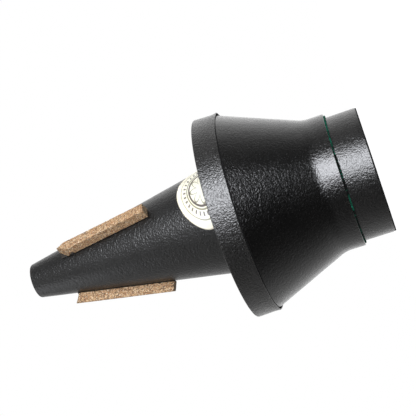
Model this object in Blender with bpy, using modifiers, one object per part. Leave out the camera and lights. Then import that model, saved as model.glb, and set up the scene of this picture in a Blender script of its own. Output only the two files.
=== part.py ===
"""Trumpet cup mute, standing on its closed wide end with the open tip up.

A fibre cone and a fibre sleeve make the body. Three cork strips on the cone hold it in a trumpet's bell.
A fibre cup rides on the sleeve, held by the friction of a felt ring in its collar, and lifts off over the tip.
The origin is the centre of the end face and +Z runs along the axis to the tip. Sizes are in metres.
"""
import bpy
import bmesh
from math import atan, cos, pi, radians, sin, tan
from mathutils import Matrix, Vector

# Body
LENGTH = 0.190
TIP_RADIUS = 0.0093
SLEEVE_RADIUS = 0.0330
SLEEVE_LENGTH = 0.0608
CONE_WALL = 0.0015
SLEEVE_WALL = 0.0015
DISC_THICKNESS = 0.0025

# Ring glued inside, where the cone meets the sleeve
JOINT_WALL = 0.0015
JOINT_REACH_UP = 0.0090
JOINT_REACH_DOWN = 0.0110

# Cork strips: their azimuths are as they were glued by hand, about a third of a turn apart
CORK_AZIMUTHS = (radians(-48.0), radians(68.7), radians(185.4))
CORK_LENGTH = 0.0540
CORK_WIDTH = 0.0057
CORK_THICKNESS = 0.0051
CORK_FROM_TIP = 0.0203
CORK_NOSE = 0.0018

# Paper label: an oval patch wrapped on the cone, cut from a skin that reaches past it by the spare
LABEL_ABOVE_SLEEVE = 0.0245
LABEL_AZIMUTH = radians(-49.9)
LABEL_HALF_LENGTH = 0.0140
LABEL_HALF_WIDTH = 0.0207
LABEL_THICKNESS = 0.0002
LABEL_SPARE = 0.0070

# Cup
CUP_PLACE = 0.0168
CUP_WALL = 0.0010
COLLAR_HEIGHT = 0.0104
CUP_SIDE_HEIGHT = 0.0417
CUP_MOUTH_RADIUS = 0.0525
LIP_HEIGHT = 0.0113
LIP_FLARE = 0.0005
WAIST_FILLET = 0.0145
LIP_FILLET = 0.0012
BAND_THICKNESS = 0.0005
BAND_OVERHANG = 0.0008

# Felt
FELT_THICKNESS = 0.0007
FELT_PROUD = 0.0007
FELT_HEIGHT = 0.0110
LINING_THICKNESS = 0.0012
LINING_BELOW_RIM = 0.0020
LINING_ABOVE_WAIST = 0.0050

# Fits and edges
CLEARANCE = 0.0003
CORK_SEAT = 0.0004
FIBRE_EDGE = 0.0004
FELT_EDGE = 0.0003
CORK_EDGE = 0.0003

# Facets
SEGMENTS = 56
FILLET_STEP = radians(5.5)
EDGE_ANGLE = radians(30.0)
SMOOTH_ANGLE = radians(32.0)
MERGE = 0.00001

# Sizes that follow from the ones above
CONE_LENGTH = LENGTH - SLEEVE_LENGTH
CONE_TAPER = (SLEEVE_RADIUS - TIP_RADIUS) / CONE_LENGTH
CONE_ANGLE = atan(CONE_TAPER)
FELT_RADIUS = SLEEVE_RADIUS + CLEARANCE + FELT_THICKNESS
LABEL_HEIGHT = SLEEVE_LENGTH + LABEL_ABOVE_SLEEVE
COLLAR_RADIUS = FELT_RADIUS + CLEARANCE + CUP_WALL
WAIST = CUP_PLACE + COLLAR_HEIGHT
CUP_MOUTH = WAIST + CUP_SIDE_HEIGHT
RIM = CUP_MOUTH + LIP_HEIGHT


def cone_radius(height):
    """Outer radius of the cone at a height above the end face."""
    return TIP_RADIUS + CONE_TAPER * (LENGTH - height)


def fillet(path, radii):
    """Round the inner corners of a (radius, height) path with arcs."""
    points = [path[0]]
    for before, corner, after, radius in zip(path, path[1:], path[2:], radii):
        corner = Vector(corner)
        back = (Vector(before) - corner).normalized()
        ahead = (Vector(after) - corner).normalized()
        half = back.angle(ahead) / 2.0
        reach = radius / tan(half)
        centre = corner + (back + ahead).normalized() * radius / sin(half)
        start = corner + back * reach - centre
        end = corner + ahead * reach - centre
        turn = start.angle_signed(end)
        steps = max(1, round(abs(turn) / FILLET_STEP))
        for step in range(steps + 1):
            arm = start.copy()
            arm.rotate(Matrix.Rotation(-turn * step / steps, 2))
            points.append(tuple(centre + arm))
    points.append(path[-1])
    return points


def inset(path, distance):
    """Move a (radius, height) path that runs down its outer side inwards, keeping its corners."""
    lines = []
    for start, end in zip(path, path[1:]):
        along = (Vector(end) - Vector(start)).normalized()
        inward = Vector((along.y, -along.x))
        lines.append((Vector(start) + inward * distance, along, inward))
    points = [lines[0][0]]
    for (start, along, _), (other, _, across) in zip(lines, lines[1:]):
        points.append(start + along * ((other - start).dot(across) / along.dot(across)))
    points.append(Vector(path[-1]) + lines[-1][2] * distance)
    return [tuple(point) for point in points]


def clip(path, top, bottom):
    """Keep the part of a falling path that lies between two heights."""
    def radius_at(height):
        for (r0, z0), (r1, z1) in zip(path, path[1:]):
            if z1 <= height <= z0:
                return r0 + (r1 - r0) * (z0 - height) / (z0 - z1)
        raise ValueError("the path doesn't reach this height")
    kept = [point for point in path if bottom < point[1] < top]
    return [(radius_at(top), top)] + kept + [(radius_at(bottom), bottom)]


def material(name, colour, roughness):
    """One Principled surface."""
    surface = bpy.data.materials.new(name)
    surface.use_nodes = True
    shader = surface.node_tree.nodes["Principled BSDF"]
    shader.inputs["Base Color"].default_value = (*colour, 1.0)
    shader.inputs["Roughness"].default_value = roughness
    shader.inputs["Metallic"].default_value = 0.0
    return surface


def lacquer(name):
    return material(name, (0.012, 0.012, 0.012), 0.35)


def felt(name):
    return material(name, (0.010, 0.130, 0.065), 0.95)


def add_object(name, mesh, surface):
    """Put a mesh in the parts' collection as the named sub-part."""
    part = bpy.data.objects.new(name, mesh)
    parts.objects.link(part)
    part.data.materials.append(surface)
    return part


def settle(part):
    """Apply the modifiers and shade the round faces smooth."""
    bpy.context.view_layer.update()
    seen = part.evaluated_get(bpy.context.evaluated_depsgraph_get())
    rough = part.data
    part.data = bpy.data.meshes.new_from_object(seen)
    part.modifiers.clear()
    bpy.data.meshes.remove(rough)
    part.data.name = part.name
    part.data.shade_smooth()
    part.data.set_sharp_from_angle(angle=SMOOTH_ANGLE)
    return part


def turned_shell(name, path, wall, edge, edge_steps, surface):
    """Spin a path that runs down its outer side, thicken it inwards and soften its edges.

    An edge takes no more than a third of the wall, which keeps the two edges of one end apart.
    """
    mesh = bpy.data.meshes.new(name)
    vertices = [(radius, 0.0, height) for radius, height in path]
    mesh.from_pydata(vertices, [(i, i + 1) for i in range(len(vertices) - 1)], [])
    part = add_object(name, mesh, surface)
    spin = part.modifiers.new("spin", "SCREW")
    spin.steps = SEGMENTS
    spin.render_steps = SEGMENTS
    spin.use_merge_vertices = True
    spin.merge_threshold = MERGE
    thicken = part.modifiers.new("wall", "SOLIDIFY")
    thicken.thickness = wall
    thicken.offset = -1.0
    thicken.use_even_offset = True
    thicken.use_quality_normals = True
    soften = part.modifiers.new("edge", "BEVEL")
    soften.width = min(edge, wall / 3.0)
    soften.segments = edge_steps
    soften.limit_method = "ANGLE"
    soften.angle_limit = EDGE_ANGLE
    return settle(part)


def make_cone_shell():
    path = [(TIP_RADIUS, LENGTH), (SLEEVE_RADIUS, SLEEVE_LENGTH)]
    return turned_shell("cone_shell", path, CONE_WALL, FIBRE_EDGE, 2, lacquer("cone lacquer"))


def make_sleeve_tube():
    """It stops under the inner edge of the cone, whose end is square to its slanting wall."""
    top = SLEEVE_LENGTH - CONE_WALL * sin(CONE_ANGLE) - CLEARANCE
    path = [(SLEEVE_RADIUS, top), (SLEEVE_RADIUS, 0.0)]
    return turned_shell("sleeve_tube", path, SLEEVE_WALL, FIBRE_EDGE, 2, lacquer("sleeve lacquer"))


def make_joint_ring():
    """It follows the inside of the cone, and then the inside of the sleeve."""
    wall = max(CONE_WALL, SLEEVE_WALL)
    top = SLEEVE_LENGTH + JOINT_REACH_UP
    bottom = SLEEVE_LENGTH - JOINT_REACH_DOWN
    outside = [(TIP_RADIUS, LENGTH), (SLEEVE_RADIUS, SLEEVE_LENGTH), (SLEEVE_RADIUS, 0.0)]
    path = clip(inset(outside, wall + CLEARANCE), top, bottom)
    fibre = material("joint ring fibre", (0.20, 0.13, 0.07), 0.80)
    return turned_shell("joint_ring", path, JOINT_WALL, FIBRE_EDGE, 1, fibre)


def make_end_disc():
    """It closes the sleeve, flush with its end."""
    radius = SLEEVE_RADIUS - SLEEVE_WALL - CLEARANCE
    bpy.ops.mesh.primitive_cylinder_add(
        vertices=SEGMENTS, radius=radius, depth=DISC_THICKNESS, location=(0.0, 0.0, DISC_THICKNESS / 2.0))
    part = bpy.context.object
    part.name = "end_disc"
    for home in part.users_collection:
        home.objects.unlink(part)
    parts.objects.link(part)
    part.data.materials.append(lacquer("disc lacquer"))
    soften = part.modifiers.new("edge", "BEVEL")
    soften.width = FIBRE_EDGE
    soften.segments = 1
    return settle(part)


def make_cork_strip(number, azimuth):
    """A square-cut strip lying on the cone, with the corners of its tip end trimmed."""
    mesh = bpy.data.meshes.new("cork")
    cage = bmesh.new()
    bmesh.ops.create_cube(cage, size=1.0)
    bmesh.ops.scale(cage, vec=(CORK_WIDTH, CORK_THICKNESS, CORK_LENGTH), verts=cage.verts)
    nose = [
        edge for edge in cage.edges
        if all(vertex.co.z > 0.0 for vertex in edge.verts)
        and abs(edge.verts[0].co.y - edge.verts[1].co.y) > CORK_THICKNESS / 2.0
    ]
    bmesh.ops.bevel(cage, geom=nose, offset=CORK_NOSE, segments=1, affect="EDGES")
    cage.to_mesh(mesh)
    cage.free()
    part = add_object("cork_strip_%d" % number, mesh, material("cork %d" % number, (0.52, 0.32, 0.16), 0.90))
    soften = part.modifiers.new("edge", "BEVEL")
    soften.width = CORK_EDGE
    soften.segments = 1
    soften.limit_method = "ANGLE"
    soften.angle_limit = EDGE_ANGLE
    settle(part)
    height = LENGTH - CORK_FROM_TIP - CORK_LENGTH * cos(CONE_ANGLE) / 2.0
    lift = CORK_SEAT + CORK_THICKNESS / 2.0
    outwards = Vector((0.0, cos(CONE_ANGLE), sin(CONE_ANGLE)))
    foot = Vector((0.0, cone_radius(height), height))
    turn = Matrix.Rotation(azimuth - pi / 2.0, 4, "Z")
    part.matrix_world = turn @ Matrix.Translation(foot + outwards * lift) @ Matrix.Rotation(CONE_ANGLE, 4, "X")
    return part


def make_label():
    """A thin conical skin over the cone, cut to an oval by a prism that stands square on the cone."""
    reach = LABEL_HALF_LENGTH + LABEL_SPARE
    lift = (CLEARANCE + LABEL_THICKNESS) / cos(CONE_ANGLE)
    heights = (LABEL_HEIGHT + reach, max(LABEL_HEIGHT - reach, SLEEVE_LENGTH))
    path = [(cone_radius(height) + lift, height) for height in heights]
    mesh = bpy.data.meshes.new("label")
    vertices = [(radius, 0.0, height) for radius, height in path]
    mesh.from_pydata(vertices, [(0, 1)], [])
    part = add_object("label", mesh, material("label paper", (0.80, 0.78, 0.66), 0.55))
    spin = part.modifiers.new("spin", "SCREW")
    spin.steps = SEGMENTS
    spin.render_steps = SEGMENTS
    spin.use_merge_vertices = True
    spin.merge_threshold = MERGE
    thicken = part.modifiers.new("sheet", "SOLIDIFY")
    thicken.thickness = LABEL_THICKNESS
    thicken.offset = -1.0
    thicken.use_even_offset = True

    depth = 2.0 * SLEEVE_RADIUS
    bpy.ops.mesh.primitive_cylinder_add(vertices=SEGMENTS, radius=1.0, depth=depth)
    cutter = bpy.context.object
    cutter.name = "label_outline"
    for home in cutter.users_collection:
        home.objects.unlink(cutter)
    cutters.objects.link(cutter)
    cutter.hide_render = True
    cutter.display_type = "WIRE"
    stretch = Matrix.Diagonal((LABEL_HALF_WIDTH, LABEL_HALF_LENGTH, 1.0, 1.0))
    foot = Vector((0.0, cone_radius(LABEL_HEIGHT), LABEL_HEIGHT))
    outwards = Vector((0.0, cos(CONE_ANGLE), sin(CONE_ANGLE)))
    turn = Matrix.Rotation(LABEL_AZIMUTH - pi / 2.0, 4, "Z")
    lean = Matrix.Rotation(CONE_ANGLE - pi / 2.0, 4, "X")
    middle = Matrix.Translation(foot + outwards * (depth / 2.0 - cone_radius(LABEL_HEIGHT)))
    cutter.data.transform(turn @ middle @ lean @ stretch)
    cut = part.modifiers.new("outline", "BOOLEAN")
    cut.operation = "INTERSECT"
    cut.object = cutter
    return settle(part)


def cup_corners():
    """The cup's outer corners, from the rim down to the collar's end."""
    return [
        (CUP_MOUTH_RADIUS + LIP_FLARE, RIM),
        (CUP_MOUTH_RADIUS, CUP_MOUTH),
        (COLLAR_RADIUS, WAIST),
        (COLLAR_RADIUS, CUP_PLACE),
    ]


def make_cup_shell():
    path = fillet(cup_corners(), (LIP_FILLET + CUP_WALL, WAIST_FILLET))
    return turned_shell("cup_shell", path, CUP_WALL, FIBRE_EDGE, 2, lacquer("cup lacquer"))


def make_rim_band():
    """A strip wrapped round the lip. Its lower edge hangs over the cup's side."""
    foot = CUP_MOUTH_RADIUS + CLEARANCE + BAND_THICKNESS
    path = [(foot + LIP_FLARE, RIM), (foot, CUP_MOUTH - BAND_OVERHANG)]
    return turned_shell("rim_band", path, BAND_THICKNESS, FIBRE_EDGE, 2, lacquer("band lacquer"))


def make_cup_lining():
    """Felt on the inside of the cup, from above the waist to just below the rim."""
    inside = inset(cup_corners(), CUP_WALL + CLEARANCE)
    above_felt = CUP_PLACE - FELT_PROUD + FELT_HEIGHT + CLEARANCE
    path = clip(inside, RIM - LINING_BELOW_RIM, max(WAIST + LINING_ABOVE_WAIST, above_felt))
    return turned_shell("cup_lining", path, LINING_THICKNESS, FELT_EDGE, 1, felt("lining felt"))


def make_collar_felt():
    """The ring that grips the sleeve. Its end stands a little proud of the collar."""
    bottom = CUP_PLACE - FELT_PROUD
    path = [(FELT_RADIUS, bottom + FELT_HEIGHT), (FELT_RADIUS, bottom)]
    return turned_shell("collar_felt", path, FELT_THICKNESS, FELT_EDGE, 1, felt("collar felt"))


def collection(name):
    group = bpy.data.collections.new(name)
    bpy.context.scene.collection.children.link(group)
    return group


for old in list(bpy.data.objects):
    bpy.data.objects.remove(old, do_unlink=True)

parts = collection("trumpet_cup_mute")
cutters = collection("cutters")

make_cone_shell()
make_sleeve_tube()
make_joint_ring()
make_end_disc()
for index, place in enumerate(CORK_AZIMUTHS):
    make_cork_strip(index + 1, place)
make_label()
make_cup_shell()
make_rim_band()
make_cup_lining()
make_collar_felt()
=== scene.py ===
"""Looks of a trumpet cup mute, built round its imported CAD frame.

The mute stands on its closed end at the origin, with its open tip up +Z. Sizes are in metres.
"""

from math import atan, atan2, cos, degrees, exp, pi, radians, sin, sqrt, tan

import bmesh
import bpy
import numpy as np
from mathutils import Matrix, Vector, noise


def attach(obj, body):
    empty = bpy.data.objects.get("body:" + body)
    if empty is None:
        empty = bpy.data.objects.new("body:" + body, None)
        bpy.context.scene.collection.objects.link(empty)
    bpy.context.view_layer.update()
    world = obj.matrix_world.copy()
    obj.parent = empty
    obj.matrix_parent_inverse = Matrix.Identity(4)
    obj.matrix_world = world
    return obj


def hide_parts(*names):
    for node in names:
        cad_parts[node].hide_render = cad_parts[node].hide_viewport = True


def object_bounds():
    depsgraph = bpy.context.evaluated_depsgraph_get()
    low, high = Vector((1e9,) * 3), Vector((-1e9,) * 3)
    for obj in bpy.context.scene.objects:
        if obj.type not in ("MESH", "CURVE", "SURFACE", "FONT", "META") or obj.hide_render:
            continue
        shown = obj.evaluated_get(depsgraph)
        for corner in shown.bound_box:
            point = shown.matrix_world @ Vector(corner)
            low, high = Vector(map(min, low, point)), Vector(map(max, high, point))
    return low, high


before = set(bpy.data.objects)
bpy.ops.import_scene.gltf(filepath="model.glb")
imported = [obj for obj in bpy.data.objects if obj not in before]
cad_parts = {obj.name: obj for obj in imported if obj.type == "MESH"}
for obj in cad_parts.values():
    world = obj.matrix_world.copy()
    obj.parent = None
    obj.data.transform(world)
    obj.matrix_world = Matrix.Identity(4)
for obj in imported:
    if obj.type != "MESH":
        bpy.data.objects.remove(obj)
CAD_BOX = [list(corner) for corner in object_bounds()]

# The body, as in the CAD
LENGTH = 0.190
TIP_RADIUS = 0.0093
SLEEVE_RADIUS = 0.0330
SLEEVE_LENGTH = 0.0608
BODY_WALL = 0.0015
CONE_TAPER = (SLEEVE_RADIUS - TIP_RADIUS) / (LENGTH - SLEEVE_LENGTH)
CONE_ANGLE = atan(CONE_TAPER)

# The cup, as in the CAD
CUP_PLACE = 0.0168
WAIST = 0.0272
CUP_MOUTH = 0.0689
RIM = 0.0802
CUP_WALL = 0.0010
COLLAR_RADIUS = 0.0353
CUP_MOUTH_RADIUS = 0.0525
LIP_FLARE = 0.0005
BAND_WALL = 0.0005
BAND_GAP = 0.0003
BAND_OVERHANG = 0.0008
BAND_LOW = CUP_MOUTH - BAND_OVERHANG
CUP_SLOPE = (CUP_MOUTH_RADIUS - COLLAR_RADIUS) / (CUP_MOUTH - WAIST)

# Faces round the axis of a turned piece
SEGMENTS = 288


def cone_radius(height):
    """The cone's outer radius at a height."""
    return TIP_RADIUS + CONE_TAPER * (LENGTH - height)


# Camera, solved from the photograph's outline

FOCAL_PIXELS = 1009.404
FRAME_PIXELS = 416.0
SENSOR = 36.0
EYE = Vector((0.0, -0.521168, 0.0015))
AIM = Vector((0.008239, 0.0, 0.088658))
ROLL = 0.322163

ahead = (AIM - EYE).normalized()
level = (Vector((0.0, 0.0, -1.0)) + ahead * ahead.z).normalized()
under = ahead.cross(level)
CAMERA_RIGHT = level * cos(ROLL) + under * sin(ROLL)
CAMERA_DOWN = under * cos(ROLL) - level * sin(ROLL)


def facing(axes, place):
    """The transform of something with these three axes at a place."""
    rows = [[axis[row] for axis in axes] + [place[row]] for row in range(3)]
    return Matrix(rows + [[0, 0, 0, 1]])


def make_camera():
    data = bpy.data.cameras.new("camera")
    data.sensor_width = SENSOR
    data.lens = FOCAL_PIXELS * SENSOR / FRAME_PIXELS
    data.clip_start = 0.01
    camera = bpy.data.objects.new("camera", data)
    bpy.context.scene.collection.objects.link(camera)
    camera.matrix_world = facing((CAMERA_RIGHT, -CAMERA_DOWN, -ahead), EYE)
    bpy.context.scene.camera = camera


def studio(across, above):
    """Direction from the object to a place in the studio, in degrees right of the lens and above it."""
    a, e = radians(across), radians(above)
    way = CAMERA_RIGHT * sin(a) * cos(e) - CAMERA_DOWN * sin(e) - ahead * cos(a) * cos(e)
    return way.normalized()


# Shader nodes

def new_material(name):
    surface = bpy.data.materials.new(name)
    surface.use_nodes = True
    surface.node_tree.nodes.clear()
    return surface


def put(tree, kind, sockets=None, **settings):
    """Add a node, with its settings, and its sockets set to values or linked to other sockets."""
    made = tree.nodes.new("ShaderNode" + kind)
    for name, value in settings.items():
        setattr(made, name, value)
    for name, value in (sockets or {}).items():
        socket = made.inputs[name]
        if isinstance(value, bpy.types.NodeSocket):
            tree.links.new(value, socket)
        elif isinstance(value, tuple) and len(value) == 3 and socket.type == "RGBA":
            socket.default_value = (*value, 1.0)
        else:
            socket.default_value = value
    return made


def calc(tree, operation, first, second=0.0, third=0.0):
    return put(tree, "Math", {0: first, 1: second, 2: third}, operation=operation).outputs[0]


def ramp(tree, factor, stops, smooth=False):
    made = put(tree, "ValToRGB", {"Fac": factor})
    made.color_ramp.interpolation = "EASE" if smooth else "LINEAR"
    elements = made.color_ramp.elements
    while len(elements) > 1:
        elements.remove(elements[-1])
    for index, (place, colour) in enumerate(stops):
        stop = elements[0] if index == 0 else elements.new(place)
        stop.position = place
        stop.color = (*colour, 1.0) if isinstance(colour, tuple) else (colour, colour, colour, 1.0)
    return made.outputs["Color"]


def mix(tree, factor, first, second):
    return put(tree, "Mix", {0: factor, 6: first, 7: second}, data_type="RGBA").outputs[2]


def clouds(tree, place, scale, detail=2.0, roughness=0.5):
    sockets = {"Vector": place, "Scale": scale, "Detail": detail, "Roughness": roughness}
    return put(tree, "TexNoise", sockets).outputs["Fac"]


def cells(tree, place, scale, feature="F1", output="Distance", smoothness=None):
    made = put(tree, "TexVoronoi", {"Vector": place, "Scale": scale}, feature=feature)
    if smoothness is not None:
        made.inputs["Smoothness"].default_value = smoothness
    return made.outputs[output]


def finish_material(tree, sockets, height=None, depth=0.0, strength=1.0):
    shader = put(tree, "BsdfPrincipled", sockets)
    if height is not None:
        bump = put(tree, "Bump", {"Height": height, "Distance": depth, "Strength": strength})
        tree.links.new(bump.outputs["Normal"], shader.inputs["Normal"])
    out = put(tree, "OutputMaterial")
    tree.links.new(shader.outputs[0], out.inputs["Surface"])


def wear_and_shade_share(tree):
    """What the mesh carries, from 0 to 1: wear on the lacquer, soil on the felt, and dirt and painted shade
    on the cork.
    """
    return put(tree, "Attribute", attribute_name="wear").outputs["Fac"]


def bend_place(tree, place, scale, reach):
    """The place, pushed about by noise, so that cells and folds come out irregular."""
    drift = put(tree, "TexNoise", {"Vector": place, "Scale": scale, "Detail": 1.0}).outputs["Color"]
    push = put(tree, "VectorMath", {0: drift, 1: (reach, reach, reach)}, operation="MULTIPLY").outputs[0]
    return put(tree, "VectorMath", {0: place, 1: push}, operation="ADD").outputs[0]


def object_place(tree):
    return put(tree, "TexCoord").outputs["Object"]


# Materials

# The lacquer's grain: the scale of its pebbles, folds and specks, to a metre, and how deep it is
PEBBLES = 1300.0
FOLDS = 760.0
FINE_FOLDS = 2200.0
SPECKS = 1600.0
GRAIN_DEPTH = 0.00018

LACQUER_DEEP = (0.0016, 0.0016, 0.0018)
LACQUER_PALE = (0.0040, 0.0038, 0.0035)
WORN_FIBRE = (0.060, 0.050, 0.040)


def lacquer(name, roughness, grain, shade, index=1.5):
    """Black lacquer over pressed fibre, with a leathery grain: pebbles with a net of grooves between."""
    surface = new_material(name)
    tree = surface.node_tree
    place = object_place(tree)
    bent = bend_place(tree, place, 950.0, 0.0008)
    pebbles = cells(tree, bent, PEBBLES, "SMOOTH_F1", smoothness=0.35)
    folds = clouds(tree, bent, FOLDS, 1.0, 0.5)
    fine = clouds(tree, place, FINE_FOLDS, 1.0)
    height = calc(tree, "MULTIPLY_ADD", folds, 1.2, calc(tree, "MULTIPLY", pebbles, -0.9))
    height = calc(tree, "MULTIPLY_ADD", fine, 0.20, height)
    broad = clouds(tree, place, 45.0, 3.0)
    specks = clouds(tree, place, SPECKS, 1.0)
    rough = calc(tree, "MULTIPLY_ADD", broad, 0.12, roughness - 0.06)
    rough = calc(tree, "MULTIPLY_ADD", specks, 0.36, calc(tree, "SUBTRACT", rough, 0.18))
    patchy = clouds(tree, place, 600.0, 4.0, 0.65)
    worn = calc(tree, "MULTIPLY", wear_and_shade_share(tree), calc(tree, "GREATER_THAN", patchy, 0.58))
    worn = calc(tree, "MULTIPLY", worn, 0.3)
    rough = calc(tree, "MULTIPLY_ADD", worn, 0.3, rough)
    mottle = calc(tree, "MULTIPLY_ADD", ramp(tree, specks, [(0.35, 0.0), (0.65, 1.0)]), 0.5, broad)
    # shade makes the black darker on the cup and cone and paler on the sleeve and band, to match how bright
    # each piece looks in the light: painted shade and painted light.
    deep = tuple(part * shade for part in LACQUER_DEEP)
    pale = tuple(part * shade for part in LACQUER_PALE)
    colour = mix(tree, worn, mix(tree, mottle, deep, pale), WORN_FIBRE)
    sockets = {"Base Color": colour, "Roughness": rough, "IOR": index}
    finish_material(tree, sockets, height, GRAIN_DEPTH, grain)
    return surface


def matte_black(name):
    """Dull black: the painted shade under the band's lower edge, and the sleeve's cut edge."""
    surface = new_material(name)
    tree = surface.node_tree
    mottle = clouds(tree, object_place(tree), 1500.0, 3.0)
    colour = ramp(tree, mottle, [(0.3, 0.0008), (0.7, 0.0030)])
    rough = calc(tree, "MULTIPLY_ADD", mottle, 0.2, 0.65)
    sockets = {"Base Color": colour, "Roughness": rough, "Specular IOR Level": 0.12}
    finish_material(tree, sockets, mottle, 0.00008)
    return surface


def raw_fibre(name):
    """Bare brown fibre, where no lacquer reaches."""
    surface = new_material(name)
    tree = surface.node_tree
    place = object_place(tree)
    mottle = clouds(tree, place, 900.0, 4.0, 0.6)
    colour = ramp(tree, mottle, [(0.25, (0.10, 0.065, 0.035)), (0.75, (0.24, 0.165, 0.095))])
    rough = calc(tree, "MULTIPLY_ADD", mottle, 0.2, 0.7)
    finish_material(tree, {"Base Color": colour, "Roughness": rough}, mottle, 0.0001)
    return surface


def felt(name, sheen):
    """Green felt, fuzzy and patchy, and nearly black where it is soiled."""
    surface = new_material(name)
    tree = surface.node_tree
    place = object_place(tree)
    fuzz = clouds(tree, place, 2600.0, 4.0, 0.7)
    patches = clouds(tree, place, 260.0, 3.0)
    dark = mix(tree, patches, (0.001, 0.040, 0.023), (0.002, 0.080, 0.046))
    bright = mix(tree, patches, (0.003, 0.150, 0.085), (0.006, 0.210, 0.124))
    colour = mix(tree, ramp(tree, fuzz, [(0.30, 0.0), (0.72, 1.0)]), dark, bright)
    colour = mix(tree, wear_and_shade_share(tree), colour, (0.0006, 0.0009, 0.0008))
    rough = calc(tree, "MULTIPLY_ADD", fuzz, 0.1, 0.88)
    sockets = {
        "Base Color": colour, "Roughness": rough, "Specular IOR Level": 0.10,
        "Sheen Weight": sheen, "Sheen Roughness": 0.5, "Sheen Tint": (0.35, 0.85, 0.60)}
    finish_material(tree, sockets, fuzz, 0.00035)
    return surface


# The scale of the cork's granules and crumbs, to a metre, and the granules' colours from dark to pale
GRANULES = 1900.0
CRUMBS = 3600.0
CORK_TONES = (
    (0.00, (0.085, 0.046, 0.022)), (0.12, (0.200, 0.112, 0.050)), (0.30, (0.360, 0.212, 0.098)),
    (0.60, (0.515, 0.312, 0.148)), (0.84, (0.625, 0.412, 0.215)), (1.00, (0.790, 0.600, 0.380)))


def cork(name, shift):
    """Agglomerated cork: tan granules, a few rusty, dark or pale, with dark lines between."""
    surface = new_material(name)
    tree = surface.node_tree
    place = object_place(tree)
    place = put(tree, "VectorMath", {0: place, 1: (shift, shift, shift)}, operation="ADD").outputs[0]
    bent = bend_place(tree, place, 2200.0, 0.00035)
    tint = cells(tree, bent, GRANULES, output="Color")
    pick = put(tree, "SeparateColor", {"Color": tint}).outputs
    colour = ramp(tree, pick[0], CORK_TONES)
    colour = mix(tree, calc(tree, "GREATER_THAN", pick[1], 0.90), colour, (0.360, 0.150, 0.060))
    edge = cells(tree, bent, GRANULES, "DISTANCE_TO_EDGE")
    joint = ramp(tree, edge, [(0.0, 1.0), (0.07, 0.0)])
    colour = mix(tree, calc(tree, "MULTIPLY", joint, 0.42), colour, (0.110, 0.056, 0.026))
    crumb = cells(tree, place, CRUMBS, output="Color")
    crumb = put(tree, "SeparateColor", {"Color": crumb}).outputs
    colour = mix(tree, calc(tree, "GREATER_THAN", crumb[0], 0.915), colour, (0.050, 0.026, 0.014))
    colour = mix(tree, calc(tree, "GREATER_THAN", crumb[1], 0.95), colour, (0.860, 0.740, 0.560))
    grain = clouds(tree, place, CRUMBS, 3.0, 0.6)
    colour = mix(tree, ramp(tree, grain, [(0.3, 0.28), (0.7, 0.0)]), colour, (0.20, 0.11, 0.055))
    # Darker where the mesh says: dirt on the edges, painted shade in the chip, and the base end face.
    colour = mix(tree, calc(tree, "MULTIPLY", wear_and_shade_share(tree), 0.65), colour, (0.080, 0.060, 0.030))
    height = calc(tree, "MULTIPLY_ADD", edge, 1.2, calc(tree, "MULTIPLY", grain, 0.6))
    rough = calc(tree, "MULTIPLY_ADD", grain, 0.15, 0.78)
    finish_material(tree, {"Base Color": colour, "Roughness": rough}, height, 0.00022)
    return surface


def glue(name):
    """Dark brown glue, half glossy. Under the corks its dark colour is also painted shade in the gap."""
    surface = new_material(name)
    tree = surface.node_tree
    mottle = clouds(tree, object_place(tree), 1200.0, 3.0)
    colour = ramp(tree, mottle, [(0.3, (0.006, 0.005, 0.004)), (0.7, (0.020, 0.014, 0.009))])
    rough = calc(tree, "MULTIPLY_ADD", mottle, 0.3, 0.35)
    finish_material(tree, {"Base Color": colour, "Roughness": rough}, mottle, 0.0001)
    return surface


def label_paper(name):
    """Cream coated paper, printed with plain rings, ticks and a rosette.

    The mesh's own attribute gives the place on it: across, along, and how far out from 0 to 1.
    """
    surface = new_material(name)
    tree = surface.node_tree
    place = object_place(tree)
    fibre = clouds(tree, place, 2000.0, 3.0)
    stain = clouds(tree, place, 70.0, 2.0)
    cream = mix(tree, ramp(tree, stain, [(0.45, 0.0), (0.75, 1.0)]), (0.93, 0.91, 0.79), (0.91, 0.84, 0.62))
    flat = put(tree, "Attribute", attribute_name="flat").outputs["Vector"]
    flat = put(tree, "SeparateXYZ", {"Vector": flat}).outputs
    out = flat[2]
    angle = calc(tree, "ARCTAN2", flat[1], flat[0])

    def ring(inner, outer):
        """A printed ring between two shares of the way out, with soft edges."""
        soft = 0.010
        return ramp(tree, out, [(inner - soft, 0.0), (inner, 1.0), (outer, 1.0), (outer + soft, 0.0)])

    wave = calc(tree, "COSINE", calc(tree, "MULTIPLY", angle, 30.0))
    rays = calc(tree, "GREATER_THAN", wave, 0.35)
    colour = mix(tree, calc(tree, "MULTIPLY", ring(0.800, 0.815), 0.85), cream, (0.16, 0.15, 0.08))
    colour = mix(tree, calc(tree, "MULTIPLY", ring(0.555, 0.585), 0.90), colour, (0.14, 0.13, 0.06))
    ticks = calc(tree, "MULTIPLY", ring(0.630, 0.720), rays)
    colour = mix(tree, calc(tree, "MULTIPLY", ticks, 0.85), colour, (0.045, 0.030, 0.040))
    petals = calc(tree, "ABSOLUTE", calc(tree, "COSINE", calc(tree, "MULTIPLY", angle, 4.0)))
    line = calc(tree, "MULTIPLY_ADD", petals, 0.26, 0.18)
    off_line = calc(tree, "ABSOLUTE", calc(tree, "SUBTRACT", out, line))
    petal = calc(tree, "LESS_THAN", off_line, 0.026)
    colour = mix(tree, calc(tree, "MULTIPLY", petal, 0.85), colour, (0.16, 0.15, 0.08))
    colour = mix(tree, calc(tree, "MULTIPLY", ring(0.460, 0.510), 0.95), colour, (0.030, 0.014, 0.012))
    edge = ramp(tree, out, [(0.975, 0.0), (1.0, 0.6)])
    colour = mix(tree, edge, colour, (0.20, 0.16, 0.10))
    rough = calc(tree, "MULTIPLY_ADD", fibre, 0.1, 0.38)
    finish_material(tree, {"Base Color": colour, "Roughness": rough}, fibre, 0.00003)
    return surface


# Geometry

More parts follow.
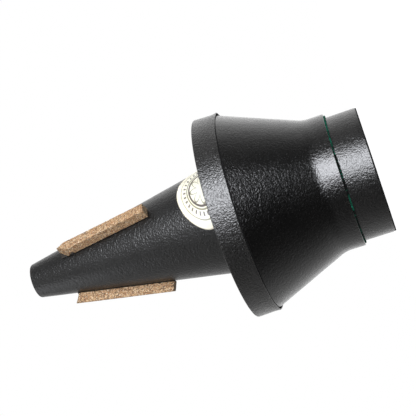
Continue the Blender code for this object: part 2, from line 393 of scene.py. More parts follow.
def link(name, mesh, surface):
    """Put a mesh in the scene as an object with this material."""
    made = bpy.data.objects.new(name, mesh)
    bpy.context.scene.collection.objects.link(made)
    if surface is not None:
        mesh.materials.append(surface)
    return made


def closed_mesh(name, points, faces):
    """A mesh with its faces turned out, shaded smooth."""
    mesh = bpy.data.meshes.new(name)
    mesh.from_pydata(points, [], faces)
    loose = bmesh.new()
    loose.from_mesh(mesh)
    bmesh.ops.recalc_face_normals(loose, faces=loose.faces)
    loose.to_mesh(mesh)
    loose.free()
    mesh.shade_smooth()
    return mesh


def set_wear_and_shade(mesh, worn):
    """Give every vertex a share from 0 to 1: how worn or soiled it is, and on the cork also how much painted
    shade it has.
    """
    layer = mesh.attributes.get("wear") or mesh.attributes.new("wear", "FLOAT", "POINT")
    layer.data.foreach_set("value", np.array(worn, np.float32))


def rounded(points, radii, step=radians(9.0)):
    """A closed (radius, height) outline with its corners rounded."""
    path = []
    count = len(points)
    for index, radius in enumerate(radii):
        corner = Vector(points[index])
        back = Vector(points[index - 1]) - corner
        onward = Vector(points[(index + 1) % count]) - corner
        room = min(back.length, onward.length) * 0.49
        back.normalize()
        onward.normalize()
        half = back.angle(onward) / 2.0
        reach = min(radius / tan(half), room)
        if radius <= 0.0 or reach < 1e-6:
            path.append(tuple(corner))
            continue
        radius = reach * tan(half)
        centre = corner + (back + onward).normalized() * radius / sin(half)
        start, end = corner + back * reach - centre, corner + onward * reach - centre
        turn = start.angle_signed(end)
        steps = max(1, round(abs(turn) / step))
        for k in range(steps + 1):
            arm = start.copy()
            arm.rotate(Matrix.Rotation(-turn * k / steps, 2))
            path.append(tuple(centre + arm))
    return path


def finer(path, spacing):
    """A closed outline with points added, so that they are less than twice the spacing apart."""
    out = []
    for (r0, z0), (r1, z1) in zip(path, path[1:] + path[:1]):
        steps = max(1, int(sqrt((r1 - r0) ** 2 + (z1 - z0) ** 2) / spacing))
        out += [(r0 + (r1 - r0) * k / steps, z0 + (z1 - z0) * k / steps) for k in range(steps)]
    return out


def lathe(name, outline, surface, shape=None, wear=None, segments=SEGMENTS):
    """Turn a closed (radius, height) outline about the axis.

    shape(azimuth, radius, height) gives each point's own radius and height. wear(radius, height) gives
    how worn the surface is there.
    """
    count = len(outline)
    points, worn = [], []
    for k in range(segments):
        azimuth = 2.0 * pi * k / segments
        for radius, height in outline:
            r, z = shape(azimuth, radius, height) if shape else (radius, height)
            points.append((r * cos(azimuth), r * sin(azimuth), z))
            worn.append(wear(radius, height) if wear else 0.0)
    faces = []
    for k in range(segments):
        a, b = k * count, (k + 1) % segments * count
        for j in range(count):
            n = (j + 1) % count
            faces.append((a + j, a + n, b + n, b + j))
    mesh = closed_mesh(name, points, faces)
    set_wear_and_shade(mesh, worn)
    return link(name, mesh, surface)


def ripple(azimuth, radius, height, scale, seed):
    """Smooth noise, between about -1 and 1, that has no seam round the axis."""
    place = Vector((radius * cos(azimuth), radius * sin(azimuth), height)) / scale
    return noise.noise(place + Vector((seed, seed, seed)))


# Radii at which noise that only goes round the cup, or round its collar, is read
ROUND_CUP = 0.05
ROUND_COLLAR = 0.034


def turned(azimuth, start=0.0):
    """Degrees from a starting azimuth, between -180 and 180."""
    return (degrees(azimuth) - start + 180.0) % 360.0 - 180.0


def round_axis(azimuth, table, column):
    """A value from a table whose rows start with their azimuth in degrees."""
    places = [row[0] for row in table]
    return float(np.interp(turned(azimuth), places, [row[column] for row in table]))


def uneven(amount, seed):
    """A hand-made surface: it wanders by the amount, more slowly than the grain."""
    def shape(azimuth, radius, height):
        slow = ripple(azimuth, radius, height, 0.016, seed)
        quick = ripple(azimuth, radius, height, 0.005, seed)
        return radius + amount * (slow + 0.4 * quick - 0.9), height

    return shape


def near(place, reach):
    """Wear that fades away from an edge's (radius, height)."""
    def wear(radius, height):
        away = sqrt((radius - place[0]) ** 2 + (height - place[1]) ** 2)
        return max(0.0, 1.0 - away / reach)

    return wear


def worn_edges(*edges):
    """Wear round several edges, each a (radius, height) and how far the wear reaches."""
    fades = [near(place, reach) for place, reach in edges]
    return lambda radius, height: max(fade(radius, height) for fade in fades)


# The gap that pieces which touch keep
GAP = 0.0003


def add_cone():
    """The long cone, open at its tip."""
    inner = BODY_WALL / cos(CONE_ANGLE)
    top = CAD_BOX[1][2]
    outline = rounded([
        (TIP_RADIUS, top), (SLEEVE_RADIUS, SLEEVE_LENGTH),
        (SLEEVE_RADIUS - inner, SLEEVE_LENGTH), (TIP_RADIUS - inner, top)],
        (0.0006, 0.0003, 0.0, 0.0005))
    outline = finer(outline, 0.0020)
    surface = lacquer("cone_lacquer", 0.33, 0.82, 0.3, index=1.46)
    wear = worn_edges(((TIP_RADIUS, LENGTH), 0.0014), ((SLEEVE_RADIUS, SLEEVE_LENGTH), 0.0006))
    cone = lathe("cone_body", outline, surface, uneven(0.00007, 3.0), wear)
    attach(cone, "mute_body")
    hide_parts("cone_shell")


# The sleeve's dull cut edge: how high it is, and how far it stands back from the side
SLEEVE_EDGE = 0.0006
EDGE_SET_BACK = 0.00015


def add_sleeve():
    """The sleeve, and the cut edge of its open end, which is dull."""
    top = SLEEVE_LENGTH - BODY_WALL * sin(CONE_ANGLE) - GAP
    inner = SLEEVE_RADIUS - BODY_WALL
    outline = rounded(
        [(SLEEVE_RADIUS, top), (SLEEVE_RADIUS, SLEEVE_EDGE), (inner, SLEEVE_EDGE), (inner, top)],
        (0.0003, 0.0002, 0.0, 0.0003))
    outline = finer(outline, 0.0020)
    surface = lacquer("sleeve_lacquer", 0.27, 0.62, 1.2)
    sleeve = lathe("sleeve", outline, surface, uneven(0.00004, 11.0))
    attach(sleeve, "mute_body")
    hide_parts("sleeve_tube")
    rim = SLEEVE_RADIUS - EDGE_SET_BACK
    outline = rounded(
        [(rim, SLEEVE_EDGE), (rim, 0.0), (inner, 0.0), (inner, SLEEVE_EDGE)],
        (0.0, 0.0003, 0.0002, 0.0))
    edge = lathe("sleeve_edge", finer(outline, 0.0005), matte_black("sleeve_edge_black"))
    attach(edge, "mute_body")


# The disc, turned from just off the axis, and the bead of glue round it: its two heights, and how far it goes
# past the disc's rim and over the disc
DISC_THICKNESS = 0.0025
DISC_CENTRE = 0.00001
GLUE_HEIGHTS = (0.0011, 0.0004)
GLUE_OUT = 0.00025
GLUE_IN = 0.0001


def add_end():
    """The disc that closes the body, set in the sleeve's end with a bead of dark glue round it."""
    radius = SLEEVE_RADIUS - BODY_WALL - GAP
    outline = rounded(
        [(DISC_CENTRE, DISC_THICKNESS), (radius, DISC_THICKNESS), (radius, 0.0), (DISC_CENTRE, 0.0)],
        (0.0, 0.0003, 0.0005, 0.0))
    surface = lacquer("disc_lacquer", 0.30, 0.60, 1.0)
    disc = lathe("end_plate", finer(outline, 0.0020), surface, None, near((radius, 0.0), 0.0012))
    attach(disc, "mute_body")
    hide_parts("end_disc")
    high, low = GLUE_HEIGHTS
    outer, inner = radius + GLUE_OUT, radius - GLUE_IN
    bead = rounded([(outer, high), (outer, low), (inner, low), (inner, high)], (0.0001,) * 4)
    ring = lathe("end_glue", bead, glue("end_glue_brown"))
    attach(ring, "mute_body")


def add_cup():
    """The cup: a collar, a narrow waist, a conical side and a short lip."""
    lip = CUP_MOUTH_RADIUS + LIP_FLARE
    drop = CUP_WALL * tan(atan(CUP_SLOPE) / 2.0)
    outside = [(lip, RIM), (CUP_MOUTH_RADIUS, CUP_MOUTH), (COLLAR_RADIUS, WAIST), (COLLAR_RADIUS, CUP_PLACE)]
    inside = [
        (COLLAR_RADIUS - CUP_WALL, CUP_PLACE), (COLLAR_RADIUS - CUP_WALL, WAIST + drop),
        (CUP_MOUTH_RADIUS - CUP_WALL, CUP_MOUTH + drop), (lip - CUP_WALL, RIM)]
    outline = rounded(
        outside + inside, (0.0004, 0.0022, 0.0145, 0.00035, 0.0003, 0.0155, 0.0012, 0.0004), radians(3.0))
    outline = finer(outline, 0.0018)
    surface = lacquer("cup_lacquer", 0.22, 0.52, 0.35)
    wear = worn_edges(((COLLAR_RADIUS, CUP_PLACE), 0.0008), ((lip, RIM), 0.0012))
    cup = lathe("cup_body", outline, surface, uneven(0.00010, 7.0), wear)
    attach(cup, "cup")
    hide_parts("cup_shell")


# Where the band's lower edge has lifted, or lies flat: azimuth in degrees, how far, and how wide in degrees.
# It is lifted a little everywhere, and the lift fades out a few millimetres up.
LIFTS = (
    (-4.0, 0.00062, 5.0), (-28.0, -0.00058, 14.0), (-148.0, -0.00055, 16.0),
    (-172.0, 0.00034, 6.0), (74.0, 0.00040, 10.0))
LIFT_EVERYWHERE = 0.00006
LIFT_HEIGHT = 0.0040


def add_band():
    """The strip round the lip. Its lower edge has come away a little in places."""
    foot = CUP_MOUTH_RADIUS + BAND_GAP + BAND_WALL
    lip = foot + LIP_FLARE
    outline = rounded(
        [(lip, RIM), (foot, BAND_LOW), (foot - BAND_WALL, BAND_LOW), (lip - BAND_WALL, RIM)],
        (0.0004, 0.0002, 0.00015, 0.0003), radians(15.0))
    outline = finer(outline, 0.0006)
    side = CAD_BOX[1][0]

    def shape(azimuth, radius, height):
        low_share = max(0.0, 1.0 - (height - BAND_LOW) / LIFT_HEIGHT) ** 2
        lift = LIFT_EVERYWHERE * (1.0 + ripple(azimuth, ROUND_CUP, 0.0, 0.012, 5.0))
        for place, amount, width in LIFTS:
            lift += amount * exp(-(turned(azimuth, place) / width) ** 2)
        wander = 0.00006 * (ripple(azimuth, radius, height, 0.012, 9.0) - 1.0)
        radius += lift * low_share + wander
        height += 0.00018 * ripple(azimuth, ROUND_CUP, 0.0, 0.006, 15.0) * low_share
        widest = side / max(abs(cos(azimuth)), abs(sin(azimuth)))
        return min(radius, widest), height

    surface = lacquer("band_lacquer", 0.29, 0.82, 1.4)
    wear = worn_edges(((foot, BAND_LOW), 0.0007), ((lip, RIM), 0.0010))
    band = lathe("lip_band", outline, surface, shape, wear)
    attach(band, "cup")
    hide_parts("rim_band")


# How wide the painted shade under the band's lower edge is round the cup, by azimuth in degrees
BAND_SHADE_ROUND = (
    (-180.0, 0.00010), (-150.0, 0.00015), (-120.0, 0.00050), (-60.0, 0.00065), (-38.0, 0.00025),
    (-5.0, 0.00015), (60.0, 0.00040), (120.0, 0.00030), (180.0, 0.00010))
BAND_SHADE_TUCKED = 0.0003
BAND_SHADE_WIDEST = 0.0010
BAND_SHADE_PROUD = 0.00004


def add_band_shade():
    """A near-black skin on the cup's side: painted shade where the band's lower edge stands off it."""
    high, low = BAND_LOW + BAND_SHADE_TUCKED, BAND_LOW - BAND_SHADE_WIDEST
    sunk = -BAND_SHADE_PROUD * 4.0

    def on_side(height, lift):
        return CUP_MOUTH_RADIUS - CUP_SLOPE * (CUP_MOUTH - height) + lift, height

    corners = [on_side(high, BAND_SHADE_PROUD), on_side(low, BAND_SHADE_PROUD), on_side(low, sunk), on_side(high, sunk)]
    outline = finer(corners, 0.0002)

    def shape(azimuth, radius, height):
        share = (high - height) / (high - low)
        width = round_axis(azimuth, BAND_SHADE_ROUND, 1)
        width *= 1.0 + 0.5 * ripple(azimuth, ROUND_CUP, 0.0, 0.004, 41.0)
        moved = high - share * (BAND_SHADE_TUCKED + width)
        return radius - CUP_SLOPE * (height - moved), moved

    # The painted shade under the band is a thin dull black skin riding on the cup.
    band_shade = lathe("lip_painted_shade", outline, matte_black("band_shade_black"), shape)
    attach(band_shade, "cup")


# How far the lining stays from the waist and from the rim, and what it keeps to the wall
LINING_FROM_WAIST = 0.0050
LINING_FROM_RIM = 0.0020
LINING_SLACK = 0.0002
LINING_THICKNESS = 0.0012


def add_lining():
    """Felt on the inside of the cup."""
    across = sqrt(1.0 + CUP_SLOPE * CUP_SLOPE)
    low, high = WAIST + LINING_FROM_WAIST, RIM - LINING_FROM_RIM

    def wall(height, depth):
        if height > CUP_MOUTH:
            return CUP_MOUTH_RADIUS + LIP_FLARE * (height - CUP_MOUTH) / (RIM - CUP_MOUTH) - depth
        return COLLAR_RADIUS + CUP_SLOPE * (height - WAIST) - LINING_SLACK - depth * across

    back = CUP_WALL + GAP
    face = back + LINING_THICKNESS
    outline = rounded([
        (wall(high, back), high), (wall(CUP_MOUTH, back), CUP_MOUTH), (wall(low, back), low),
        (wall(low, face), low), (wall(CUP_MOUTH, face), CUP_MOUTH), (wall(high, face), high)],
        (0.0004, 0.001, 0.0004, 0.0004, 0.001, 0.0004))
    outline = finer(outline, 0.0015)

    def shape(azimuth, radius, height):
        fluff = ripple(azimuth, radius, height, 0.0022, 21.0) + ripple(azimuth, radius, height, 0.007, 22.0)
        return radius + 0.00012 * fluff, height + 0.00015 * fluff

    lining = lathe("felt_lining", outline, felt("lining_green", 0.20), shape)
    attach(lining, "cup")
    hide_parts("cup_lining")


# Round the collar, by azimuth in degrees: how far the felt stands out of it and how soiled it is
FELT_ROUND = (
    (-180.0, 0.00070, 0.70), (-173.0, 0.00080, 0.30), (-165.0, 0.00070, 0.75), (-145.0, 0.00060, 0.85),
    (-137.0, 0.00070, 1.00), (-121.0, 0.00075, 1.00), (-117.0, 0.00080, 0.50), (-107.0, 0.00080, 0.45),
    (-102.0, 0.00085, 1.10), (-75.0, 0.00085, 1.10), (-68.0, 0.00065, 0.80), (-50.0, 0.00065, 0.60),
    (-40.0, 0.00080, 0.40), (-30.0, 0.00080, 0.30), (-14.0, 0.00080, 0.22), (-6.0, 0.00070, 0.25),
    (40.0, 0.00060, 0.40), (90.0, 0.00070, 0.10), (140.0, 0.00060, 0.60), (180.0, 0.00070, 0.70))
FELT_PROUD = 0.0007
FELT_HEIGHT = 0.0110
FELT_LOOSE_END = 0.0030
FELT_SEGMENTS = 720


def add_collar_felt():
    """The felt ring in the collar. It was cut by hand, and it is soiled where hands and grease reach it."""
    low = CUP_PLACE - FELT_PROUD
    high = low + FELT_HEIGHT
    inner, outer = SLEEVE_RADIUS + 0.00012, COLLAR_RADIUS - CUP_WALL - 0.00010
    corners = [(outer, high), (outer, low), (inner, low), (inner, high)]
    outline = finer(rounded(corners, (0.0003,) * 4, radians(20.0)), 0.0010)

    def shape(azimuth, radius, height):
        at_end = max(0.0, 1.0 - (height - low) / FELT_LOOSE_END)
        stand = round_axis(azimuth, FELT_ROUND, 1)
        stand += 0.00022 * ripple(azimuth, ROUND_COLLAR, 0.0, 0.0060, 31.0)
        stand += 0.00010 * ripple(azimuth, ROUND_COLLAR, 0.0, 0.0016, 33.0)
        height += (CUP_PLACE - low - stand) * at_end
        fluff = ripple(azimuth, radius, height, 0.0009, 35.0)
        return radius + 0.00006 * fluff, height + 0.00008 * fluff * at_end

    ring = lathe("felt_collar", outline, felt("collar_green", 0.0), shape, segments=FELT_SEGMENTS)
    darkening = []
    for vertex in ring.data.vertices:
        azimuth = atan2(vertex.co.y, vertex.co.x)
        spread = 0.45 * ripple(azimuth, ROUND_COLLAR, 0.0, 0.0030, 37.0)
        spread += 0.80 * ripple(azimuth, ROUND_COLLAR, vertex.co.z, 0.0009, 38.0)
        darkening.append(min(1.0, max(0.0, round_axis(azimuth, FELT_ROUND, 2) + spread)))
    set_wear_and_shade(ring.data, darkening)
    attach(ring, "felt_ring")
    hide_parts("collar_felt")


CORK_LENGTH = 0.0540
CORK_WIDTH = 0.0057
CORK_THICKNESS = 0.0051
CORK_FROM_TIP = 0.0203
CORK_SEAT = 0.0004
CORK_VOXEL = 0.00024
HALF_THICK = CORK_THICKNESS / 2.0
HALF_WIDE = CORK_WIDTH / 2.0
HALF_LONG = CORK_LENGTH / 2.0
CORK_MIDDLE = LENGTH - CORK_FROM_TIP - CORK_LENGTH * cos(CONE_ANGLE) / 2.0
TIP_END = Vector((0.0, 0.0, HALF_LONG))

# Each strip was cut by hand: its azimuth in degrees, how far its base and tip ends pass the plain block's,
# the cuts, each a point and the direction that goes away, and a chip's place and radius. Places are across
# the strip, out from its middle, and along it from the block's tip end.
CORKS = (
    (-48.0, (0.00036, 0.00040), (
        ((0.0, HALF_THICK, -0.00575), (0.049, 0.953, 0.301)),
        ((-0.00033, -HALF_THICK, -0.00090), (0.729, 0.289, 0.623)),
    ), ((HALF_WIDE, -HALF_THICK, -0.0074), 0.0016)),
    (68.7, (0.0, 0.0), (
        ((-0.0017, 0.0, 0.0), (-0.70, 0.10, 0.70)),
        ((0.0, HALF_THICK, -0.0009), (0.0, 0.60, 0.80)),
    ), ((-HALF_WIDE, HALF_THICK, -0.0218), 0.0010)),
    (185.4, (-0.00030, 0.00090), (
        ((0.0, HALF_THICK, 0.00090), (0.0, -0.36, 0.933)),
        ((0.0024, 0.0, 0.0), (0.70, 0.0, 0.72)),
        ((0.0, -HALF_THICK, 0.0002 - CORK_LENGTH), (0.0, 0.22, -0.975)),
    ), ((HALF_WIDE, HALF_THICK, -0.0430), 0.0008)),
)


def cork_frame(azimuth):
    """Where a strip lies: its own +X across it, +Y out of the cone and +Z to the tip."""
    out = Vector((0.0, cos(CONE_ANGLE), sin(CONE_ANGLE)))
    foot = Vector((0.0, cone_radius(CORK_MIDDLE), CORK_MIDDLE)) + out * (CORK_SEAT + CORK_THICKNESS / 2.0)
    turn = Matrix.Rotation(azimuth - pi / 2.0, 4, "Z")
    return turn @ Matrix.Translation(foot) @ Matrix.Rotation(CONE_ANGLE, 4, "X")


def cork_block(base, tip, cuts):
    """A block between its base and tip ends, cut by planes, as a fine and even mesh."""
    cage = bmesh.new()
    bmesh.ops.create_cube(cage, size=1.0)
    bmesh.ops.scale(cage, vec=(CORK_WIDTH, CORK_THICKNESS, tip - base), verts=cage.verts)
    bmesh.ops.translate(cage, vec=(0.0, 0.0, (tip + base) / 2.0), verts=cage.verts)
    for place, away in cuts:
        geometry = cage.verts[:] + cage.edges[:] + cage.faces[:]
        plane = {"plane_co": TIP_END + Vector(place), "plane_no": Vector(away).normalized()}
        bmesh.ops.bisect_plane(cage, geom=geometry, clear_outer=True, **plane)
        bmesh.ops.holes_fill(cage, edges=[edge for edge in cage.edges if edge.is_boundary])
    mesh = bpy.data.meshes.new("cork_cage")
    cage.to_mesh(mesh)
    cage.free()
    coarse = link("cork_cage", mesh, None)
    grid = coarse.modifiers.new("grid", "REMESH")
    grid.mode = "VOXEL"
    grid.voxel_size = CORK_VOXEL
    bpy.context.view_layer.update()
    seen = coarse.evaluated_get(bpy.context.evaluated_depsgraph_get())
    fine = bpy.data.meshes.new_from_object(seen)
    bpy.data.objects.remove(coarse)
    return fine


# Where a strip's edge begins, as a share of its half size, how deep its pits and crumbled edges are, how deep
# a chip is for its radius, and how far the darkening goes up from the base end
EDGE_BEGINS = 0.86
PIT_DEPTH = 0.00006
CRUMB_DEPTH = 0.00055
CHIP_DEPTH = 0.85
DARK_BASE_REACH = 0.0012


def age_cork(mesh, number, base, chip):
    """Pit a strip, crumble its edges and chip it, darken its edges with dirt, its chip with painted shade and
    its base end face, and let its underside follow the cone.
    """
    centre, reach = TIP_END + Vector(chip[0]), chip[1]
    half_size = (HALF_WIDE, HALF_THICK, HALF_LONG)
    normals = [vertex.normal.copy() for vertex in mesh.vertices]
    seed = Vector((number * 7.0, 0.0, 0.0))
    darkening = []
    for vertex, normal in zip(mesh.vertices, normals):
        place = vertex.co.copy()
        edge = sum(
            max(0.0, abs(place[k]) / half_size[k] - EDGE_BEGINS) for k in range(3) if abs(normal[k]) < 0.9)
        pits = noise.noise(place / 0.00055 + seed) + 0.6 * noise.noise(place / 0.0019 + seed)
        crumbs = max(0.0, noise.noise(place / 0.0010 + seed * 2.0) - 0.14)
        vertex.co -= normal * (PIT_DEPTH * (pits + 0.9) + CRUMB_DEPTH * crumbs * min(1.0, edge * 6.0))
        dirt_and_shade = min(0.40, edge * 2.4)
        gap = (place - centre).length
        if gap < reach:
            vertex.co -= normal * (reach - gap) * CHIP_DEPTH
            # Painted shade: the chip is darker toward its middle.
            dirt_and_shade = max(dirt_and_shade, min(0.9, (reach - gap) / reach * 1.8))
        # The base end face is darker.
        if vertex.co.z < base + DARK_BASE_REACH:
            dirt_and_shade = max(dirt_and_shade, min(1.0, -normal.z * 1.6 - 0.5))
        darkening.append(dirt_and_shade)
        deep = min(1.0, max(0.0, -place.y / HALF_THICK)) ** 2
        radius = cone_radius(CORK_MIDDLE + place.z * cos(CONE_ANGLE))
        vertex.co.y -= deep * (CORK_SEAT * 0.5 + place.x * place.x / (2.0 * radius))
    mesh.shade_smooth()
    set_wear_and_shade(mesh, darkening)


def add_cork(number, azimuth, ends, cuts, chip):
    """One of the strips that hold the mute in the bell."""
    base, tip = -HALF_LONG - ends[0], HALF_LONG + ends[1]
    mesh = cork_block(base, tip, cuts)
    age_cork(mesh, number, base, chip)
    strip = link("cork_%d" % number, mesh, cork("cork_grain_%d" % number, number * 0.37))
    strip.data.transform(cork_frame(azimuth))
    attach(strip, "mute_body")
    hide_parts("cork_strip_%d" % number)


# How much narrower and shorter the glue line, dark as painted shade in the gap under a strip, is than its
# plain block, how far it goes into the block and the cone, and how many faces it has across and along
GLUE_NARROWER = 0.0007
GLUE_SHORTER = 0.0012
GLUE_IN_CORK = 0.00012
GLUE_IN_CONE = 0.00005
GLUE_ACROSS = 12
GLUE_ALONG = 60


def add_cork_glue_and_shade(number, azimuth):
    """Glue between a strip and the cone, near black as painted shade in the gap. It follows the cone, inside
    the strip's edges.
    """
    width, length = CORK_WIDTH - GLUE_NARROWER, CORK_LENGTH - GLUE_SHORTER
    lie = cork_frame(azimuth)
    top, low = [], []
    for i in range(GLUE_ALONG + 1):
        for j in range(GLUE_ACROSS + 1):
            x = (j / GLUE_ACROSS - 0.5) * width
            z = (i / GLUE_ALONG - 0.5) * length
            x *= 1.0 + 0.05 * noise.noise(Vector((z / 0.004, x / 0.003, number)))
            point = lie @ Vector((x, -CORK_THICKNESS / 2.0 + GLUE_IN_CORK, z))
            top.append(point)
            reach = Vector((point.x, point.y)).length
            radius = cone_radius(point.z) - GLUE_IN_CONE
            low.append(Vector((point.x / reach * radius, point.y / reach * radius, point.z)))
    count = len(top)
    row = GLUE_ACROSS + 1
    faces = []
    for i in range(GLUE_ALONG):
        for j in range(GLUE_ACROSS):
            a, b = i * row + j, (i + 1) * row + j
            faces.append((a, a + 1, b + 1, b))
            faces.append((count + a, count + b, count + b + 1, count + a + 1))
    last = GLUE_ALONG * row
    rim = list(range(row))
    rim += [i * row + GLUE_ACROSS for i in range(1, GLUE_ALONG + 1)]
    rim += [last + j for j in range(GLUE_ACROSS - 1, -1, -1)]
    rim += [i * row for i in range(GLUE_ALONG - 1, 0, -1)]
    for a, b in zip(rim, rim[1:] + rim[:1]):
        faces.append((a, count + a, count + b, b))
    mesh = closed_mesh("glue", [tuple(point) for point in top + low], faces)
    # The glue's near-black colour is painted shade under the strip.
    layer = link("cork_glue_%d" % number, mesh, glue("cork_glue_%d_brown" % number))
    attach(layer, "mute_body")


def add_corks():
    """The three strips, each with its glue, which is dark as painted shade."""
    for number, (place, ends, cuts, chip) in enumerate(CORKS, 1):
        add_cork(number, radians(place), ends, cuts, chip)
        add_cork_glue_and_shade(number, radians(place))


LABEL_HEIGHT = 0.0853
LABEL_AZIMUTH = radians(-49.9)
LABEL_HALF_LENGTH = 0.0140
LABEL_HALF_WIDTH = 0.0207
LABEL_GAP = 0.00012
LABEL_THICKNESS = 0.00018
LABEL_RINGS = 28
LABEL_SPOKES = 144


def on_cone(x, y, lift):
    """Drop a point of the label's flat oval on to the cone, along the oval's normal, by halving the way."""
    out = Vector((0.0, cos(CONE_ANGLE), sin(CONE_ANGLE)))
    up = Vector((0.0, -sin(CONE_ANGLE), cos(CONE_ANGLE)))
    foot = Vector((0.0, cone_radius(LABEL_HEIGHT), LABEL_HEIGHT))
    low, high = -0.030, 0.010
    for _ in range(40):
        mid = (low + high) / 2.0
        point = foot + Vector((x, 0.0, 0.0)) + up * y + out * mid
        if Vector((point.x, point.y)).length > cone_radius(point.z) + lift / cos(CONE_ANGLE):
            high = mid
        else:
            low = mid
    return Matrix.Rotation(LABEL_AZIMUTH - pi / 2.0, 4, "Z") @ point


def label_places():
    """The label's points on its flat oval: across, along, and how far out from 0 to 1."""
    flat = [(0.0, 0.0, 0.0)]
    for ring in range(1, LABEL_RINGS + 1):
        share = ring / LABEL_RINGS
        for spoke in range(LABEL_SPOKES):
            angle = 2.0 * pi * spoke / LABEL_SPOKES
            wave = 1.0 + 0.006 * noise.noise(Vector((cos(angle) * 2.0, sin(angle) * 2.0, 4.0)))
            across = LABEL_HALF_WIDTH * share * wave * cos(angle)
            along = LABEL_HALF_LENGTH * share * wave * sin(angle)
            flat.append((across, along, share))
    return flat


def add_label():
    """A thin oval of paper wrapped on the cone, seen as an ellipse square on to it."""
    flat = label_places()
    top = [on_cone(x, y, LABEL_GAP + LABEL_THICKNESS) for x, y, _ in flat]
    low = [on_cone(x, y, LABEL_GAP) for x, y, _ in flat]
    count = len(flat)
    edge = 1 + (LABEL_RINGS - 1) * LABEL_SPOKES
    faces = []
    for spoke in range(LABEL_SPOKES):
        n = (spoke + 1) % LABEL_SPOKES
        faces.append((0, 1 + spoke, 1 + n))
        faces.append((count, count + 1 + n, count + 1 + spoke))
        for ring in range(LABEL_RINGS - 1):
            a, b = 1 + ring * LABEL_SPOKES, 1 + (ring + 1) * LABEL_SPOKES
            faces.append((a + spoke, b + spoke, b + n, a + n))
            faces.append((count + a + spoke, count + a + n, count + b + n, count + b + spoke))
        faces.append((edge + spoke, count + edge + spoke, count + edge + n, edge + n))
    mesh = closed_mesh("label", [tuple(point) for point in top + low], faces)
    mesh.set_sharp_from_angle(angle=radians(40.0))
    layer = mesh.attributes.new("flat", "FLOAT_VECTOR", "POINT")
    places = [(x / LABEL_HALF_WIDTH, y / LABEL_HALF_LENGTH, share) for x, y, share in flat] * 2
    layer.data.foreach_set("vector", np.array(places, np.float32).ravel())
    paper = link("paper_label", mesh, label_paper("label_cream"))
    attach(paper, "mute_body")
    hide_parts("label")


def dress_joint_ring():
    """The ring inside keeps its own solid and takes a material of bare fibre."""
    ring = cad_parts["joint_ring"]
    ring.data.materials.clear()
    ring.data.materials.append(raw_fibre("joint_ring_fibre"))


# Studio

FLOOR_REACH = 3.0
FLOOR_BELOW = 0.0002

# How much the floor glows to the lens, by the distance from the mute
FLOOR_GLOW = ((0.10, 0.765), (0.30, 0.86))


def add_floor():
    """A pale floor. It is white to the lens where nothing shades it, and the mute's shadow stays on it."""
    mesh = bpy.data.meshes.new("floor")
    signs = ((-1, -1), (1, -1), (1, 1), (-1, 1))
    mesh.from_pydata([(x * FLOOR_REACH, y * FLOOR_REACH, 0.0) for x, y in signs], [], [(0, 1, 2, 3)])
    surface = new_material("floor_white")
    tree = surface.node_tree
    seen = put(tree, "LightPath").outputs["Is Camera Ray"]
    paint = put(tree, "BsdfDiffuse", {"Color": (0.85, 0.85, 0.85)})
    away = put(tree, "VectorMath", {0: object_place(tree)}, operation="LENGTH").outputs["Value"]
    strength = calc(tree, "MULTIPLY", seen, ramp(tree, away, FLOOR_GLOW, True))
    glow = put(tree, "Emission", {"Color": (1.0, 1.0, 1.0), "Strength": strength})
    both = put(tree, "AddShader", {0: paint.outputs[0], 1: glow.outputs[0]})
    out = put(tree, "OutputMaterial")
    tree.links.new(both.outputs[0], out.inputs["Surface"])
    floor = link("floor", mesh, surface)
    floor.location.z = -FLOOR_BELOW
    floor.visible_glossy = False
    floor.visible_shadow = False


# How strong the white room is as the light that falls on the mute
DIFFUSE_LEVEL = 0.42

# What the lacquer mirrors: a white room, dark behind the lens both low and high, grey on the left and low at
# the back, and lighter high at the back. Each side has its direction, how far it reaches and how far it is
# whole, in degrees, and its amount.
MIRROR_LEVEL = 1.05
DARK_SIDES = (
    (30.0, -20.0, 80.0, 5.0, 0.95),
    (30.0, 50.0, 85.0, 10.0, 0.85),
    (-100.0, 10.0, 50.0, 0.0, 0.60),
    (140.0, -70.0, 50.0, 15.0, 0.35))
BRIGHT_SIDE = (150.0, 35.0, 70.0, 30.0, 0.40)


def light_world():
    """A world that is white to the lens, dimmer as light on the mute, and mirrored as the room above."""
    world = bpy.data.worlds.new("studio")
    bpy.context.scene.world = world
    world.use_nodes = True
    tree = world.node_tree
    tree.nodes.clear()
    path = put(tree, "LightPath").outputs
    way = put(tree, "TexCoord").outputs["Generated"]

    def toward(across, above, far, close):
        """1 toward a side of the room, fading to 0 between two angles from it, in degrees."""
        side_way = tuple(studio(across, above))
        cosine = put(tree, "VectorMath", {0: way, 1: side_way}, operation="DOT_PRODUCT").outputs["Value"]
        sockets = {
            "Value": cosine, "From Min": cos(radians(far)), "From Max": cos(radians(close)),
            "To Min": 0.0, "To Max": 1.0}
        return put(tree, "MapRange", sockets, interpolation_type="SMOOTHSTEP").outputs["Result"]

    mirror = MIRROR_LEVEL
    for *side, amount in DARK_SIDES:
        mirror = calc(tree, "MULTIPLY", mirror, calc(tree, "MULTIPLY_ADD", toward(*side), -amount, 1.0))
    *side, amount = BRIGHT_SIDE
    mirror = calc(tree, "MULTIPLY_ADD", toward(*side), amount, mirror)
    level = calc(tree, "MULTIPLY_ADD", path["Is Diffuse Ray"], DIFFUSE_LEVEL - 1.0, 1.0)
    glossy = path["Is Glossy Ray"]
    strength = calc(tree, "MULTIPLY_ADD", glossy, calc(tree, "SUBTRACT", mirror, 1.0), level)
    back = put(tree, "Background", {"Color": (1.0, 1.0, 1.0), "Strength": strength})
    out = put(tree, "OutputWorld")
    tree.links.new(back.outputs[0], out.inputs["Surface"])


LAMP_COLOUR = (0.93, 0.95, 1.0)
MUTE_MIDDLE = Vector((0.0, 0.0, 0.07))

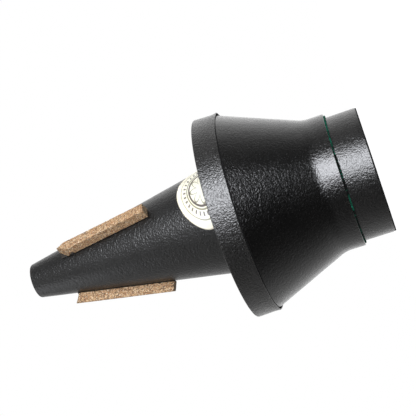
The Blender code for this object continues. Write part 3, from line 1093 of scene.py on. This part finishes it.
# The soft box that lights the mute: its direction in degrees right of the lens and above it, its sides, how
# far off it is, and its power
KEY_DIRECTION = (-15.5, 21.6)
KEY_SIDES = (0.62, 0.60)
KEY_AWAY = 0.75
KEY_POWER = 8.6

# The same box as the lacquer mirrors it, brighter toward its middle: the width and the power of each layer,
# how far off the first is and how much nearer each next one, and how much less high than wide they are
MIRRORED_BOXES = ((0.60, 6.2), (0.48, 4.6), (0.34, 2.3))
MIRRORED_AWAY = 0.70
MIRRORED_STEP = 0.005
LESS_HIGH = 0.02

# A weak pale card close under the tip, which shows only as a reflection
CARD_DIRECTION = (-60.0, -62.0)
CARD_SIDES = (0.10, 0.10)
CARD_AWAY = 0.13
CARD_POWER = 0.042


def soft_box(name, direction, sides, away, power, mirrored_only, aim=MUTE_MIDDLE):
    """An area lamp in the studio that faces a point of the mute."""
    data = bpy.data.lights.new(name, "AREA")
    data.shape = "RECTANGLE"
    data.size, data.size_y = sides
    data.energy = power
    data.color = LAMP_COLOUR
    lamp = bpy.data.objects.new(name, data)
    bpy.context.scene.collection.objects.link(lamp)
    way = studio(*direction)
    right = (CAMERA_RIGHT - way * CAMERA_RIGHT.dot(way)).normalized()
    up = way.cross(right)
    lamp.matrix_world = facing((right, up, way), aim + way * away)
    lamp.visible_camera = False
    if mirrored_only:
        lamp.visible_diffuse = False
    else:
        lamp.visible_glossy = False


def add_lamps():
    """The soft box, once as light and once as the lacquer mirrors it, and the card."""
    soft_box("key_box", KEY_DIRECTION, KEY_SIDES, KEY_AWAY, KEY_POWER, False)
    for number, (side, power) in enumerate(MIRRORED_BOXES):
        away = MIRRORED_AWAY - MIRRORED_STEP * number
        soft_box("key_box_mirrored_%d" % number, KEY_DIRECTION, (side, side - LESS_HIGH), away, power, True)
    tip = Vector((0.0, 0.0, LENGTH))
    soft_box("tip_card", CARD_DIRECTION, CARD_SIDES, CARD_AWAY, CARD_POWER, True, tip)


make_camera()
add_cone()
add_sleeve()
add_end()
add_cup()
add_band()
add_band_shade()
add_lining()
add_collar_felt()
add_corks()
add_label()
dress_joint_ring()
add_floor()
light_world()
add_lamps()

bpy.context.scene.view_settings.view_transform = "Standard"
